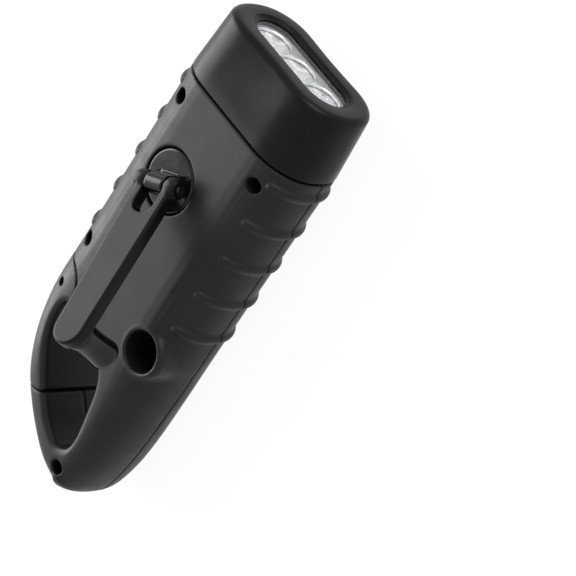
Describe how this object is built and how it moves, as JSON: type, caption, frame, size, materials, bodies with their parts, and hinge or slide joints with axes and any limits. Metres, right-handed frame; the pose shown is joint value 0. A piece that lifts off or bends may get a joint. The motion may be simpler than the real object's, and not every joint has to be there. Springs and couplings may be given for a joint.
{
  "type": "hand crank flashlight",
  "caption": "Pocket flashlight with a wide lamp head, a folding crank that drives an inner generator, a solar panel underneath and a carabiner tail with a sprung gate.",
  "frame": {"origin": "bottom centre of the bounding box, the flashlight lying on its solar face", "axes": "+X towards the lamp, +Y towards the gate of the carabiner, +Z out of the crank face"},
  "size_m": [0.15, 0.0558, 0.0599],
  "materials": {
    "shell_plastic": "fine satin texture, dark grey",
    "head_plastic": "smooth satin black",
    "gloss_black_plastic": "polished black",
    "black_rubber": "matte",
    "clear_lens": "clear polished",
    "led_resin": "clear resin dome",
    "bright_reflector": "vacuum metallised, mirror bright",
    "white_board": "white solder mask",
    "green_board": "green solder mask",
    "solar_film": "copper brown amorphous cell under a clear film",
    "bright_steel": "bright",
    "dark_steel": "blackened",
    "bearing_brass": "turned",
    "gear_nylon": "natural moulded nylon",
    "coil_copper": "enamelled copper winding",
    "magnet_ceramic": "sintered dark grey",
    "battery_sleeve": "plain shrink sleeve"
  },
  "bodies": {
    "housing": {"head_bezel": "head_plastic", "lens": "clear_lens", "lens_seal": "black_rubber", "reflector": "bright_reflector", "led_1": "led_resin", "led_2": "led_resin", "led_3": "led_resin", "led_board": "white_board", "crank_shell": "shell_plastic", "crank_tail": "shell_plastic", "knob_well": "shell_plastic", "solar_shell": "shell_plastic", "solar_bezel": "gloss_black_plastic", "solar_cell": "solar_film", "body_screw_1": "dark_steel", "body_screw_2": "dark_steel", "body_screw_3": "dark_steel", "body_screw_4": "dark_steel", "axle_bush": "bearing_brass", "idler_shaft_1": "bright_steel", "idler_shaft_2": "bright_steel", "generator_coil": "coil_copper", "generator_can": "bright_steel", "gear_plate": "bright_steel", "plate_screw_1": "bright_steel", "plate_screw_2": "bright_steel", "plate_screw_3": "bright_steel", "battery": "battery_sleeve", "main_board": "green_board", "power_switch": "dark_steel"},
    "crank": {"crank_hub": "gloss_black_plastic", "crank_axle": "bright_steel", "hub_screw": "bright_steel", "crank_gear": "gear_nylon"},
    "arm": {"crank_arm": "shell_plastic", "hinge_pin": "bright_steel", "knob_screw": "bright_steel"},
    "knob": {"knob": "gloss_black_plastic"},
    "idler_1": {"idler_gear_1": "gear_nylon"},
    "idler_2": {"idler_gear_2": "gear_nylon"},
    "rotor": {"rotor_pinion": "bearing_brass", "rotor_shaft": "bright_steel", "rotor_magnet": "magnet_ceramic"},
    "gate": {"gate": "shell_plastic", "gate_pin": "dark_steel", "gate_spring": "bright_steel"},
    "button": {"power_button": "gloss_black_plastic"}
  },
  "joints": [
    {"name": "crank_spin", "type": "hinge", "parent": "housing", "child": "crank", "pos_m": [0.02625, 0.00531, 0.026], "axis": [0, 0, 1], "continuous": true},
    {"name": "arm_fold", "type": "hinge", "parent": "crank", "child": "arm", "pos_m": [0.02538, 0.00483, 0.0324], "axis": [-0.4848, 0.8746, 0], "range_deg": [-30, 150]},
    {"name": "knob_spin", "type": "hinge", "parent": "arm", "child": "knob", "pos_m": [-0.01015, -0.01487, 0.05585], "axis": [0.4373, 0.2424, 0.866], "continuous": true},
    {"name": "idler_1_spin", "type": "hinge", "parent": "housing", "child": "idler_1", "pos_m": [0.01125, 0.00379, 0.018], "axis": [0, 0, 1], "continuous": true},
    {"name": "idler_2_spin", "type": "hinge", "parent": "housing", "child": "idler_2", "pos_m": [0.00119, 0.00952, 0.015], "axis": [0, 0, 1], "continuous": true},
    {"name": "rotor_spin", "type": "hinge", "parent": "housing", "child": "rotor", "pos_m": [-0.00846, 0.00661, 0.012], "axis": [0, 0, 1], "continuous": true},
    {"name": "gate_swing", "type": "hinge", "parent": "housing", "child": "gate", "pos_m": [-0.0255, 0.0196, 0.0147], "axis": [0, 0, 1], "range_deg": [0, 30], "stiffness_Nm_per_rad": 0.05, "springref_deg": -17.19},
    {"name": "button_press", "type": "slide", "parent": "housing", "child": "button", "axis": [0, -1, 0], "range_m": [0, 0.0008], "stiffness_N_per_m": 400, "springref_m": -0.001}
  ],
  "couplings": [
    {"joint": "idler_1_spin", "follows": "crank_spin", "ratio": -4},
    {"joint": "idler_2_spin", "follows": "crank_spin", "ratio": 14.4},
    {"joint": "rotor_spin", "follows": "crank_spin", "ratio": -43.2}
  ]
}
